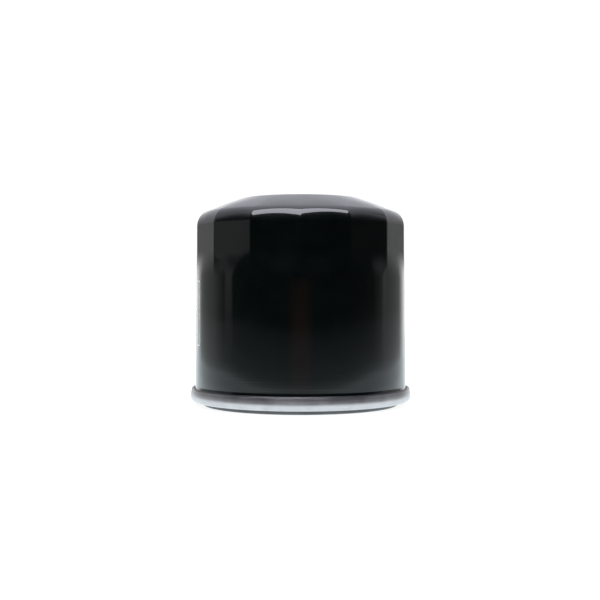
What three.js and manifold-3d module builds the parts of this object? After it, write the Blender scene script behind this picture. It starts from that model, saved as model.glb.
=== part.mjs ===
// A spin-on oil filter, standing on its gasket with the dome up. Millimetres, +Z up.
// The origin is the centre of the gasket's sealing face, and the filter's axis is Z.
// One corner between two wrench flats faces -Y, so a pair of flats faces +X and -X.
import * as THREE from "three";
import { mergeVertices } from "three/addons/utils/BufferGeometryUtils.js";
import Module from "manifold-3d";

const wasm = await Module();
wasm.setup();

// ---- driving dimensions ----
const outerSegments = 56; // four to each wrench flat
const innerSegments = 28;
const wireSides = 6;
const gap = 0.1; // between faces that touch on the real filter
const clearance = 0.3; // between faces that slide past each other

const totalHeight = 64.5;
const canRadius = 33;
const canWall = 0.5;
const crownRadius = 19.6; // flat middle of the dome
const crownBevel = 1; // half width of the bevel round the crown
const domeSlope = THREE.MathUtils.degToRad(21.3);
const shoulderFillet = 5.3;

const flatCount = 14;
const acrossFlats = 64;
const flatsBottom = 38; // below this height the can is plain and round
const flatsFull = 44.8; // above this height the flats have their full depth

const flangeRadius = 34.5; // the rolled seam
const flangeBottom = 1.3;
const flangeTop = 5.6;
const seamRound = 2;
const foldRound = 0.7;
const foldBottom = 3.4; // lower edge of the cover's folded end
const hookBottom = 2.3; // the can's edge, hooked outwards and up inside the fold
const hookBend = 3.1;
const hookTop = 4.6;
const hookBevel = 0.3;
const sealantThickness = 0.3;
const coverSheet = 0.4;
const coverInnerRadius = 21.6;
const landBottom = 2.9; // welded land of the seam cover
const channelFloor = 5.1; // gasket channel
const channelInner = 25.6;
const channelOuter = 30.8;

const gasketInner = 26;
const gasketOuter = 30.5;
const gasketRound = 0.5;

const plateThickness = 2.2;
const plateRadius = canRadius - canWall - clearance;
const hubRadius = 12.2;
const hubTop = 13;
const threadMajor = 10; // M20 x 1.5
const threadMinor = 9.19;
const threadPitch = 1.5;
const inletCount = 8;
const inletRadius = 2.75;
const inletCircle = 18.2;

const collarWidth = 2.3;
const flapInner = 15.2;
const flapRadius = 22.6;
const flapRoot = 1; // thickness at the collar
const flapTip = 0.5; // thickness of the rim that seals
const flapRim = 0.8; // width of that rim
const flapLift = 1.5; // room for the flap to rise

const elementBottom = 11;
const elementTop = 52;
const elementRadius = 28;
const capSheet = 0.4;
const capLip = 3;
const capBore = hubRadius + clearance + gap;
const tubeInner = 12.7;
const tubeOuter = 13.2;
const pottingHeight = 1.6;
const pleatCount = 36;
const pleatInner = 14;
const pleatOuter = 27;
const mediaThickness = 0.6;

const inletBore = 7; // opening in the upper end cap
const seatOuter = 12.4;
const seatBore = 6;
const seatFlange = 0.6;
const seatLip = 0.3; // height of the raised lip that the seal meets
const sealRoom = 1.3; // between the poppet and the seat
const cageRadius = 9;
const cageBottom = 40;
const cageSheet = 0.4;
const poppetRadius = 8;
const poppetHead = 0.8;
const stemRadius = 1.6;

// ---- geometry helpers ----

/** A closed geometry as a solid: the shared corners are merged, and triangles with no area dropped. */
function solidOf(geometry) {
  const bare = geometry.clone();
  bare.deleteAttribute("normal");
  bare.deleteAttribute("uv");
  const merged = mergeVertices(bare);
  const corners = merged.index.array;
  const kept = [];
  for (let i = 0; i < corners.length; i += 3) {
    const [a, b, c] = corners.slice(i, i + 3);
    if (a !== b && b !== c && c !== a) kept.push(a, b, c);
  }
  return new wasm.Manifold(
    new wasm.Mesh({
      numProp: 3,
      vertProperties: merged.getAttribute("position").array,
      triVerts: new Uint32Array(kept),
    }),
  );
}

function geometryOf(solid) {
  const { vertProperties, triVerts } = solid.getMesh();
  const geometry = new THREE.BufferGeometry();
  geometry.setAttribute("position", new THREE.BufferAttribute(vertProperties, 3));
  geometry.setIndex(new THREE.BufferAttribute(triVerts, 1));
  geometry.computeVertexNormals();
  return geometry;
}

function cut(geometry, ...cutters) {
  return geometryOf(cutters.reduce((left, cutter) => left.subtract(solidOf(cutter)), solidOf(geometry)));
}

/** Points [r, z] along an arc, its angles in degrees from the +r direction towards +z. */
function arc(centreR, centreZ, radius, from, to, steps) {
  return Array.from({ length: steps + 1 }, (_, i) => {
    const angle = THREE.MathUtils.degToRad(from + ((to - from) * i) / steps);
    return [centreR + radius * Math.cos(angle), centreZ + radius * Math.sin(angle)];
  });
}

/** Turns a profile of [r, z] points, listed anticlockwise, about Z. One that leaves the axis closes there. */
function revolve(profile, segments) {
  const onAxis = profile[0][0] === 0 && profile.at(-1)[0] === 0;
  const points = (onAxis ? profile : [...profile, profile[0]]).map(([r, z]) => new THREE.Vector2(r, z));
  return new THREE.LatheGeometry(points, segments).rotateX(Math.PI / 2);
}

/** A ring of rectangular section. */
function ring(inner, outer, bottom, top, segments) {
  const profile = [
    [inner, bottom],
    [outer, bottom],
    [outer, top],
    [inner, top],
  ];
  return revolve(profile, segments);
}

/** A round bar along Z. */
function bar(radius, bottom, top, sides) {
  return new THREE.CylinderGeometry(radius, radius, top - bottom, sides)
    .rotateX(Math.PI / 2)
    .translate(0, 0, (bottom + top) / 2);
}

/** Winds a section (x outwards, y along the axis) into a right-handed helix that starts at its top. */
function wind(section, meanRadius, turns, stepsPerTurn, heightAt) {
  const sweep = turns * 2 * Math.PI;
  const geometry = new THREE.ExtrudeGeometry(section, {
    depth: sweep,
    steps: Math.round(turns * stepsPerTurn),
    bevelEnabled: false,
  });
  const position = geometry.getAttribute("position");
  for (let i = 0; i < position.count; i++) {
    const radius = meanRadius + position.getX(i);
    const turned = position.getZ(i);
    position.setXYZ(
      i,
      radius * Math.cos(-turned),
      radius * Math.sin(-turned),
      heightAt(turned / sweep) + position.getY(i),
    );
  }
  return geometry;
}

function circleShape(radius, sides) {
  return new THREE.Shape(
    Array.from({ length: sides }, (_, i) => {
      const angle = (i / sides) * 2 * Math.PI;
      return new THREE.Vector2(radius * Math.cos(angle), radius * Math.sin(angle));
    }),
  );
}

/** A coil spring whose ends lie flat, between two heights. */
function coilSpring(meanRadius, wireRadius, bottom, top, turns, stepsPerTurn) {
  const flatTurns = 0.75; // at each end
  const low = bottom + wireRadius;
  const high = top - wireRadius;
  const endShare = flatTurns / turns; // share of the wire in each flat end
  const endDrop = (wireRadius * 2 + gap) / (high - low); // a wire's thickness, as a share of the height
  const heightAt = (share) => {
    const middle = (share - endShare) / (1 - 2 * endShare);
    if (middle < 0) return high - (high - low) * endDrop * (share / endShare);
    if (middle > 1) return low + (high - low) * endDrop * ((1 - share) / endShare);
    return high - (high - low) * (endDrop + (1 - 2 * endDrop) * middle);
  };
  return wind(circleShape(wireRadius, wireSides), meanRadius, turns, stepsPerTurn, heightAt);
}

// ---- can ----

/** How far a flat has run out at a height: 0 where it is full, more as it fades into the round can. */
function flatRunOut(z) {
  const fade = THREE.MathUtils.clamp((flatsFull - z) / (flatsFull - flatsBottom), 0, 1);
  return fade * (canRadius - acrossFlats / 2 + gap);
}

/** Presses the wrench flats into a revolved skin that lies a given depth inside the can's outer face. */
function pressFlats(geometry, depth) {
  const pitch = (2 * Math.PI) / flatCount;
  const position = geometry.getAttribute("position");
  for (let i = 0; i < position.count; i++) {
    const [x, y, z] = [position.getX(i), position.getY(i), position.getZ(i)];
    const fromCorner = THREE.MathUtils.euclideanModulo(Math.atan2(x, -y), pitch);
    const limit = (acrossFlats / 2 - depth + flatRunOut(z)) / Math.cos(fromCorner - pitch / 2);
    const shrink = limit / Math.hypot(x, y);
    if (shrink < 1 && z >= flatsBottom) position.setXY(i, x * shrink, y * shrink);
  }
  return geometry;
}

/** The can's side and dome, from a start point up to the axis, a given depth inside its outer face. */
function domedProfile(depth, rows, filletSteps) {
  const slope = THREE.MathUtils.radToDeg(domeSlope);
  const side = canRadius - depth;
  const fillet = shoulderFillet - depth;
  const filletRun = shoulderFillet * Math.tan((Math.PI / 2 - domeSlope) / 2);
  const filletZ = totalHeight - (canRadius - crownRadius) * Math.tan(domeSlope) - filletRun;
  const crownZ = totalHeight - depth;
  const crownR = crownRadius - depth * Math.tan(domeSlope / 2);
  return [
    ...rows.map((z) => [side, z]),
    ...arc(canRadius - shoulderFillet, filletZ, fillet, 0, 90 - slope, filletSteps),
    [crownR + crownBevel, crownZ - crownBevel * Math.tan(domeSlope)],
    [crownR - crownBevel, crownZ],
    [0, crownZ],
  ];
}

function can() {
  const outerRows = [flatsBottom, 39, 40.2, 41.8, 43.5, flatsFull];
  const innerRows = [0, flatsBottom, 41.4, flatsFull];
  const hookOuter = flangeRadius - coverSheet - gap;
  const hookInner = hookOuter - coverSheet;
  const outside = [
    [0, hookBottom],
    [canRadius + hookBevel, hookBottom],
    [hookOuter, hookBend],
    [hookOuter, hookTop],
    [hookInner, hookTop],
    [hookInner, hookBend],
    [canRadius, hookBend],
    ...domedProfile(0, outerRows, 4),
  ];
  const inside = [[0, 0], ...domedProfile(canWall, innerRows, 3)];
  const outerSkin = pressFlats(revolve(outside, outerSegments), 0);
  const innerSkin = pressFlats(revolve(inside, outerSegments), canWall);
  return cut(outerSkin, innerSkin);
}

// ---- mouth end ----

/** The thin cover that carries the gasket and is rolled round the can's edge in a double seam. */
function seamCover() {
  const landTop = landBottom + coverSheet;
  const floorTop = channelFloor + coverSheet;
  const roundR = flangeRadius - seamRound;
  const roundZ = flangeBottom + seamRound;
  const foldR = flangeRadius - foldRound;
  const foldZ = flangeTop - foldRound;
  const innerFold = foldRound - coverSheet;
  const profile = [
    [coverInnerRadius, landBottom],
    [channelInner, landBottom],
    [channelInner, channelFloor],
    [channelOuter, channelFloor],
    [channelOuter, flangeBottom + coverSheet],
    [channelOuter + coverSheet, flangeBottom],
    ...arc(roundR, roundZ, seamRound, -90, 0, 3),
    ...arc(foldR, foldZ, foldRound, 0, 180, 4),
    [foldR - foldRound, foldBottom],
    [foldR - innerFold, foldBottom],
    ...arc(foldR, foldZ, innerFold, 180, 0, 2),
    ...arc(roundR, roundZ, seamRound - coverSheet, 0, -90, 2),
    [channelOuter + coverSheet, flangeBottom + coverSheet],
    [channelOuter + coverSheet, floorTop],
    [channelInner - coverSheet, floorTop],
    [channelInner - coverSheet, landTop],
    [coverInnerRadius, landTop],
  ];
  return revolve(profile, outerSegments);
}

/** The sealing compound inside the seam, between the cover and the can's edge. */
function seamSealant() {
  const bottom = flangeBottom + coverSheet + gap;
  const inner = channelOuter + coverSheet + 2 * gap;
  return ring(inner, canRadius - canWall, bottom, bottom + sealantThickness, outerSegments);
}

function gasket() {
  const top = channelFloor - gap;
  const profile = [
    [gasketInner + gasketRound, 0],
    [gasketOuter - gasketRound, 0],
    [gasketOuter, gasketRound],
    [gasketOuter, top],
    [gasketInner, top],
    [gasketInner, gasketRound],
  ];
  return revolve(profile, outerSegments);
}

/** The dished steel plate with the inlet holes and the threaded hub. */
function basePlate() {
  const bottom = landBottom + coverSheet + gap;
  const rimBottom = channelFloor + coverSheet + gap;
  const dishRadius = channelInner - coverSheet - 2 * gap;
  const mouth = threadMajor + 2 * gap;
  const chamfer = mouth - threadMinor;
  const dishBend = 0.6;
  const dishWall = 1;
  const inletSides = 12;
  const profile = [
    [mouth, bottom],
    [dishRadius, bottom],
    [dishRadius, rimBottom],
    [plateRadius, rimBottom],
    [plateRadius, rimBottom + plateThickness],
    [dishRadius - dishBend, rimBottom + plateThickness],
    [dishRadius - dishBend - dishWall, bottom + plateThickness],
    [hubRadius, bottom + plateThickness],
    [hubRadius, hubTop],
    [mouth, hubTop],
    [threadMinor, hubTop - chamfer],
    [threadMinor, bottom + chamfer],
  ];
  const inlets = Array.from({ length: inletCount }, (_, i) => {
    const angle = (i / inletCount) * 2 * Math.PI;
    return bar(inletRadius, 0, hubTop, inletSides).translate(
      inletCircle * Math.cos(angle),
      inletCircle * Math.sin(angle),
      0,
    );
  });
  return cut(revolve(profile, innerSegments), threadTap(bottom, hubTop), ...inlets);
}

/** The helical groove of the internal thread, running out past both ends of the hub. */
function threadTap(bottom, top) {
  const stepsPerTurn = 14;
  const crest = threadPitch / 16;
  const root = threadMinor - 2 * gap;
  const meanRadius = (root + threadMajor) / 2;
  const depth = threadMajor - root;
  const flank = crest + depth * Math.tan(Math.PI / 6);
  const section = new THREE.Shape([
    new THREE.Vector2(-depth / 2, -flank),
    new THREE.Vector2(depth / 2, -crest),
    new THREE.Vector2(depth / 2, crest),
    new THREE.Vector2(-depth / 2, flank),
  ]);
  const start = top + threadPitch / 2;
  const travel = start - bottom + threadPitch / 2;
  const heightAt = (share) => start - travel * share;
  return wind(section, meanRadius, travel / threadPitch, stepsPerTurn, heightAt);
}

// ---- anti-drainback valve: a collar round the hub, and a lip that rests on the plate outside the inlets ----

const plateTop = landBottom + coverSheet + gap + plateThickness;

function valveCollar() {
  const inner = hubRadius + clearance;
  const outer = inner + collarWidth;
  const top = elementBottom - clearance;
  const bevelHeight = 0.8;
  const bevelWidth = 0.4;
  const profile = [
    [inner, plateTop + clearance],
    [outer, plateTop + clearance],
    [outer, top - bevelHeight],
    [outer - bevelWidth, top],
    [inner, top],
  ];
  return revolve(profile, innerSegments);
}

function valveFlap() {
  const bottom = plateTop + clearance;
  const innerTop = elementBottom - flapLift - clearance;
  const profile = [
    [flapInner, innerTop - flapRoot],
    [flapRadius - flapRim, bottom],
    [flapRadius, bottom],
    [flapRadius, bottom + flapTip],
    [flapInner, innerTop],
  ];
  return revolve(profile, innerSegments);
}

// ---- filter element ----

const lowerPottingBottom = elementBottom + capSheet + gap;
const mediaBottom = lowerPottingBottom + pottingHeight + gap;
const upperPottingTop = elementTop - capSheet - gap;
const mediaTop = upperPottingTop - pottingHeight - gap;

/** A sheet-metal end cap: a flat ring with a turned rim, on the side that the direction gives. */
function endCap(face, bore, direction) {
  const profile = [
    [bore, face],
    [elementRadius, face],
    [elementRadius, face + direction * capLip],
    [elementRadius - capSheet, face + direction * capLip],
    [elementRadius - capSheet, face + direction * capSheet],
    [bore, face + direction * capSheet],
  ];
  return revolve(direction > 0 ? profile : profile.reverse(), innerSegments);
}

function potting(bottom) {
  const outer = elementRadius - capSheet - 2 * gap;
  return ring(tubeOuter + 2 * gap, outer, bottom, bottom + pottingHeight, innerSegments);
}

/** The star-folded paper: one band of even thickness, folded in and out. */
function pleatedMedia() {
  const pitch = (2 * Math.PI) / pleatCount;
  const foldOutside = mediaThickness + gap; // half width of a fold, on its outer face
  const foldInside = gap;
  const at = (radius, angle, aside) => {
    const turned = angle + aside / radius;
    return new THREE.Vector2(radius * Math.cos(turned), radius * Math.sin(turned));
  };
  const dirtySide = [];
  const cleanSide = [];
  for (let i = 0; i < pleatCount; i++) {
    const peak = i * pitch;
    const valley = peak + pitch / 2;
    for (const side of [-1, 1]) {
      dirtySide.push(at(pleatOuter, peak, side * foldOutside));
      cleanSide.push(at(pleatOuter - mediaThickness, peak, side * foldInside));
    }
    for (const side of [-1, 1]) {
      dirtySide.push(at(pleatInner + mediaThickness, valley, side * foldInside));
      cleanSide.push(at(pleatInner, valley, side * foldOutside));
    }
  }
  const star = new THREE.Shape(dirtySide);
  star.holes.push(new THREE.Path(cleanSide));
  const depth = mediaTop - mediaBottom;
  return new THREE.ExtrudeGeometry(star, { depth, bevelEnabled: false }).translate(0, 0, mediaBottom);
}

/** The metal clip that joins the two ends of the paper, straddling one pleat on the -Y side. */
function pleatClip() {
  const sheet = 0.3;
  const inside = mediaThickness + 2 * gap + sheet;
  const outside = inside + sheet;
  const depth = 2.4;
  const back = pleatOuter + gap;
  const section = new THREE.Shape(
    [
      [-outside, back + sheet - depth],
      [-inside, back + sheet - depth],
      [-inside, back],
      [inside, back],
      [inside, back + sheet - depth],
      [outside, back + sheet - depth],
      [outside, back + sheet],
      [-outside, back + sheet],
    ].map(([x, y]) => new THREE.Vector2(x, y)),
  );
  const bottom = elementBottom + capLip + clearance;
  const top = elementTop - capLip - clearance;
  return new THREE.ExtrudeGeometry(section, { depth: top - bottom, bevelEnabled: false })
    .rotateZ(Math.PI)
    .translate(0, 0, bottom);
}

/** The perforated tube that the paper stands round. Each punch goes through both walls. */
function centerTube() {
  const columns = 3;
  const rows = 5;
  const holeRadius = 1.7;
  const holeSides = 8;
  const rowPitch = (mediaTop - mediaBottom) / rows;
  const punches = [];
  for (let row = 0; row < rows; row++) {
    for (let column = 0; column < columns; column++) {
      const turn = ((column + (row % 2) / 2) / columns) * Math.PI;
      punches.push(
        new THREE.CylinderGeometry(holeRadius, holeRadius, 4 * tubeOuter, holeSides)
          .rotateZ(turn + Math.PI / (4 * columns))
          .translate(0, 0, mediaBottom + (row + 0.5) * rowPitch),
      );
    }
  }
  return cut(ring(tubeInner, tubeOuter, lowerPottingBottom, upperPottingTop, innerSegments), ...punches);
}

// ---- bypass valve, under the upper end cap ----

const seatTop = elementTop - capSheet - gap;
const seatFace = seatTop - seatFlange - seatLip;
const cageTop = seatTop - seatFlange - gap;
const poppetTop = seatFace - gap - sealRoom;

function bypassSeat() {
  const lipWidth = 1;
  const profile = [
    [seatBore, seatFace],
    [seatBore + lipWidth, seatFace],
    [seatBore + lipWidth, seatTop - seatFlange],
    [seatOuter, seatTop - seatFlange],
    [seatOuter, seatTop],
    [seatBore, seatTop],
  ];
  return revolve(profile, innerSegments);
}

/** A pressed cup with a flange and four windows, and a hole in its floor that guides the stem. */
function bypassCage() {
  const guide = 2.6;
  const flange = 0.6;
  const profile = [
    [guide, cageBottom],
    [cageRadius, cageBottom],
    [cageRadius, cageTop - flange],
    [seatOuter, cageTop - flange],
    [seatOuter, cageTop],
    [cageRadius - cageSheet, cageTop],
    [cageRadius - cageSheet, cageBottom + cageSheet],
    [guide, cageBottom + cageSheet],
  ];
  const windowWidth = 6;
  const windowHeight = 5;
  const windowZ = (cageBottom + cageTop) / 2;
  const windows = [0, Math.PI / 2].map((turn) =>
    new THREE.BoxGeometry(4 * cageRadius, windowWidth, windowHeight).rotateZ(turn).translate(0, 0, windowZ),
  );
  return cut(revolve(profile, innerSegments), ...windows);
}

function bypassPoppet() {
  const headBottom = poppetTop - poppetHead;
  const stemBottom = cageBottom + 2;
  const profile = [
    [0, stemBottom],
    [stemRadius, stemBottom],
    [stemRadius, headBottom],
    [poppetRadius, headBottom],
    [poppetRadius, poppetTop],
    [0, poppetTop],
  ];
  return revolve(profile, innerSegments);
}

function bypassSeal() {
  const inner = 5.2;
  return ring(inner, poppetRadius - 2 * gap, poppetTop + gap, seatFace - gap, innerSegments);
}

function bypassSpring() {
  const meanRadius = 4.6;
  const wireRadius = 0.45;
  const bottom = cageBottom + cageSheet + gap;
  const top = poppetTop - poppetHead - gap;
  const turns = 5;
  return coilSpring(meanRadius, wireRadius, bottom, top, turns, 12);
}

/** The spring between the dome and the element, which keeps the element pressed onto the valve collar. */
function elementSpring() {
  const meanRadius = 14;
  const wireRadius = 0.8;
  const bottom = elementTop + clearance;
  const top = totalHeight - canWall - gap;
  const turns = 4;
  return coilSpring(meanRadius, wireRadius, bottom, top, turns, 18);
}

// ---- materials ----

const surface = (color, roughness, metalness) => () =>
  new THREE.MeshStandardMaterial({ color, roughness, metalness });
const blackPaint = surface(0x050607, 0.12, 0);
const platedSteel = surface(0xa9acb0, 0.35, 1);
const plainSteel = surface(0x8d8f92, 0.45, 1);
const springSteel = surface(0x6e7074, 0.4, 1);
const rubber = surface(0x17181a, 0.6, 0);
const nitrile = surface(0x5a1f12, 0.65, 0);
const compound = surface(0x6b6f70, 0.8, 0);
const adhesive = surface(0xc9c3ac, 0.6, 0);
const paper = surface(0xd9b25f, 0.9, 0);

// ---- assembly ----

const filter = new THREE.Group();

function addPiece(name, geometry, material) {
  const piece = new THREE.Mesh(geometry, material());
  piece.name = name;
  filter.add(piece);
}

addPiece("can", can(), blackPaint);
addPiece("seam_cover", seamCover(), platedSteel);
addPiece("seam_sealant", seamSealant(), compound);
addPiece("gasket", gasket(), rubber);
addPiece("base_plate", basePlate(), plainSteel);
addPiece("anti_drainback_collar", valveCollar(), nitrile);
addPiece("anti_drainback_flap", valveFlap(), nitrile);
addPiece("lower_end_cap", endCap(elementBottom, capBore, 1), plainSteel);
addPiece("lower_potting", potting(lowerPottingBottom), adhesive);
addPiece("pleated_media", pleatedMedia(), paper);
addPiece("pleat_seam_clip", pleatClip(), plainSteel);
addPiece("center_tube", centerTube(), plainSteel);
addPiece("upper_potting", potting(upperPottingTop - pottingHeight), adhesive);
addPiece("upper_end_cap", endCap(elementTop, inletBore, -1), plainSteel);
addPiece("bypass_seat", bypassSeat(), plainSteel);
addPiece("bypass_cage", bypassCage(), plainSteel);
addPiece("bypass_spring", bypassSpring(), springSteel);
addPiece("bypass_poppet", bypassPoppet(), plainSteel);
addPiece("bypass_seal", bypassSeal(), nitrile);
addPiece("element_spring", elementSpring(), springSteel);

export default filter;
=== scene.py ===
import math
import random

import bmesh
import bpy
import numpy as np
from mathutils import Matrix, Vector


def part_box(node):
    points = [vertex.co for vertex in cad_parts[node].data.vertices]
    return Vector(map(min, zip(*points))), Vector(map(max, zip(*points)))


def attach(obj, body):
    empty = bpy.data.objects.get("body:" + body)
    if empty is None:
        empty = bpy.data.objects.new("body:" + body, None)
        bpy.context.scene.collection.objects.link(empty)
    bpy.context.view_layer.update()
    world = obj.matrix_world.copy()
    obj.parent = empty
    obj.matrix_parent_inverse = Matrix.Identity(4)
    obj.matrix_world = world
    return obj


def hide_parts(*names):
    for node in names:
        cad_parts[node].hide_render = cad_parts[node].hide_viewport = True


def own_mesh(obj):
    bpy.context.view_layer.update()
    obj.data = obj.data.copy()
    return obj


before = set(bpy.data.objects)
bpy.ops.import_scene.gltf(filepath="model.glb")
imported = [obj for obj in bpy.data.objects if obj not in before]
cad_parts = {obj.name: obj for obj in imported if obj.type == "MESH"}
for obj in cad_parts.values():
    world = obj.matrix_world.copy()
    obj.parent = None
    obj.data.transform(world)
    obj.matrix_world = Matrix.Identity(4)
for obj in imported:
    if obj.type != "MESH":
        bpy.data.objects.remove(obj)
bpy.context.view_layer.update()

MM = 0.001
TURN = 2 * math.pi
random.seed(7)

# ---- camera: level, a little above mid height, in front of the corner between two flats ----

CAMERA_DISTANCE = 330
CAMERA_HEIGHT = 35.4
LENS = 62.7
SENSOR = 36
SHIFT = (-0.0009, -0.0138)
NEAR, FAR = 0.01, 20  # metres


def make_camera():
    camera = bpy.data.objects.new("camera", bpy.data.cameras.new("camera"))
    camera.data.lens = LENS
    camera.data.sensor_width = SENSOR
    camera.data.shift_x, camera.data.shift_y = SHIFT
    camera.data.clip_start, camera.data.clip_end = NEAR, FAR
    camera.location = (0, -CAMERA_DISTANCE * MM, CAMERA_HEIGHT * MM)
    camera.rotation_euler = (math.pi / 2, 0, 0)
    bpy.context.scene.collection.objects.link(camera)
    bpy.context.scene.camera = camera


make_camera()

# ---- sizes in millimetres, from the frame where it has them ----


def outline(node):
    """A round node's (outer radius, lowest z, highest z)."""
    low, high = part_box(node)
    return high.x / MM, low.z / MM, high.z / MM


TOP = outline("can")[2]
FLANGE, FLANGE_BOTTOM, FLANGE_TOP = outline("seam_cover")
GASKET, GASKET_BOTTOM, GASKET_TOP = outline("gasket")
PLATE, PLATE_BOTTOM, HUB_TOP = outline("base_plate")
COLLAR, COLLAR_BOTTOM, COLLAR_TOP = outline("anti_drainback_collar")
FLAP, FLAP_BOTTOM, FLAP_TOP = outline("anti_drainback_flap")
ELEMENT, CAP_BOTTOM, LOWER_RIM = outline("lower_end_cap")
CAP_TOP = outline("upper_end_cap")[2]
MEDIA, MEDIA_BOTTOM, MEDIA_TOP = outline("pleated_media")
TUBE, TUBE_BOTTOM, TUBE_TOP = outline("center_tube")
SEAT, SEAT_FACE, SEAT_TOP = outline("bypass_seat")
CAGE_BOTTOM, CAGE_TOP = outline("bypass_cage")[1:]
POPPET, STEM_BOTTOM, POPPET_TOP = outline("bypass_poppet")
SEAL, SEAL_BOTTOM, SEAL_TOP = outline("bypass_seal")

CAN = 33.0
WALL = 0.5
SHEET = 0.4
GAP = 0.1  # between faces that touch
CLEARANCE = 0.3  # round the hub
SEAM_ROUND = 1.7  # under the ring
SEAM_WAIST = 3.1  # height of the ring's widest point
SEAM_BULGE = 3.3
SEAM_LEAN = 10  # degrees inwards above the waist
FOLD_ROUND = 0.42
FOLD_BOTTOM = 3.4  # the cover's end in the seam
HOOK_BOTTOM, HOOK_BEND, HOOK_TOP = 2.3, 3.1, 4.6  # the can's edge in the seam
HALF_SHADE_BOTTOM = 3.5  # painted shade on the ring: half strength from here up
FULL_SHADE_BOTTOM = 5.2  # and full from here up
PAINT_FOOT = 5.4  # where the paint swells out to the ring
PAINT_SWELL = 2.6
CHANNEL_INNER, CHANNEL_OUTER = 25.6, 30.8
CHANNEL_FLOOR = GASKET_TOP + GAP
LAND_BOTTOM = PLATE_BOTTOM - SHEET - GAP
LAND_INNER = 21.6
PLATE_THICKNESS = 2.2
HUB = 12.2
THREAD_MINOR, THREAD_MAJOR, THREAD_PITCH = 9.19, 10.0, 1.5
INLETS, INLET_CIRCLE, INLET = 8, 18.2, 2.75
TUBE_HOLE = 1.7
SEAT_BORE = 6.0
SEAT_FLANGE = 0.6
PLEATS = 36
PANEL_BARS = 8

FLATS = 14
APOTHEM = 32.0
SHOULDER = 5.3  # radius of the rounding between side and cone
SLOPE = 21.3  # of the cone, in degrees
CONE_BOW = 2.7
CROWN = 19.35  # radius of the flat top
CROWN_ROUND = 3.5
CONE_DROP = (CAN - CROWN) * math.tan(math.radians(SLOPE))
FILLET_Z = TOP - CONE_DROP - SHOULDER * math.tan(math.radians(90 - SLOPE) / 2)
FLATS_FOOT = (39.0, 48.5)  # heights over which the flats fade in
FLATS_HEAD = (FILLET_Z + 7, FILLET_Z + 0.8)  # and out again over the shoulder
CORNER_SOFTNESS = 0.14

# ---- mesh building ----

ROUNDING = 1e-9
WELD, SLIVER = 3e-7, 1e-8  # metres


def even_angles(count):
    """Angles round a full turn, from the -Y side towards +X."""
    return np.arange(count) * TURN / count


def arc(r, z, radius, start, end, steps):
    """Points [r, z] on an arc, its angles in degrees from +r towards +z."""
    turned = np.radians(np.linspace(start, end, steps + 1))
    return [[r + radius * math.cos(a), z + radius * math.sin(a)] for a in turned]


def rounded(*corners, steps=5):
    """An outline from corners (r, z, radius of the rounding, or 0 for a sharp corner)."""
    points = []
    for i, (r, z, radius) in enumerate(corners):
        here = np.array([r, z], float)
        if radius == 0:
            points.append([r, z])
            continue
        back = np.array(corners[i - 1][:2], float) - here
        ahead = np.array(corners[(i + 1) % len(corners)][:2], float) - here
        back /= np.linalg.norm(back)
        ahead /= np.linalg.norm(ahead)
        half = math.acos(np.clip(back @ ahead, -1, 1)) / 2
        reach = radius / math.tan(half)
        centre = here + (back + ahead) / np.linalg.norm(back + ahead) * radius / math.sin(half)
        first, last = here + back * reach - centre, here + ahead * reach - centre
        swing = math.atan2(first[0] * last[1] - first[1] * last[0], first @ last)
        for a in np.linspace(0, swing, steps + 1):
            x = first[0] * math.cos(a) - first[1] * math.sin(a)
            y = first[0] * math.sin(a) + first[1] * math.cos(a)
            points.append([centre[0] + x, centre[1] + y])
    return points


def square_ring(inner, outer, low, high, roundings):
    """A ring's square outline; its corners' roundings start at the inner lower one."""
    return rounded(*zip((inner, outer, outer, inner), (low, low, high, high), roundings))


def refined(profile, longest, closed=True):
    """The same outline with its sides split until none is longer than the given length."""
    points = []
    count = len(profile)
    for i in range(count if closed else count - 1):
        start, end = np.array(profile[i], float), np.array(profile[(i + 1) % count], float)
        parts = max(1, math.ceil(np.linalg.norm(end - start) / longest - ROUNDING))
        points += [list(start + (end - start) * k / parts) for k in range(parts)]
    if not closed:
        points.append(list(profile[-1]))
    return points


def round_about(radii, heights, angles):
    """Points at radii and heights, at angles from -Y towards +X."""
    return np.stack([radii * np.sin(angles), -radii * np.cos(angles), heights], axis=-1)


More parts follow.
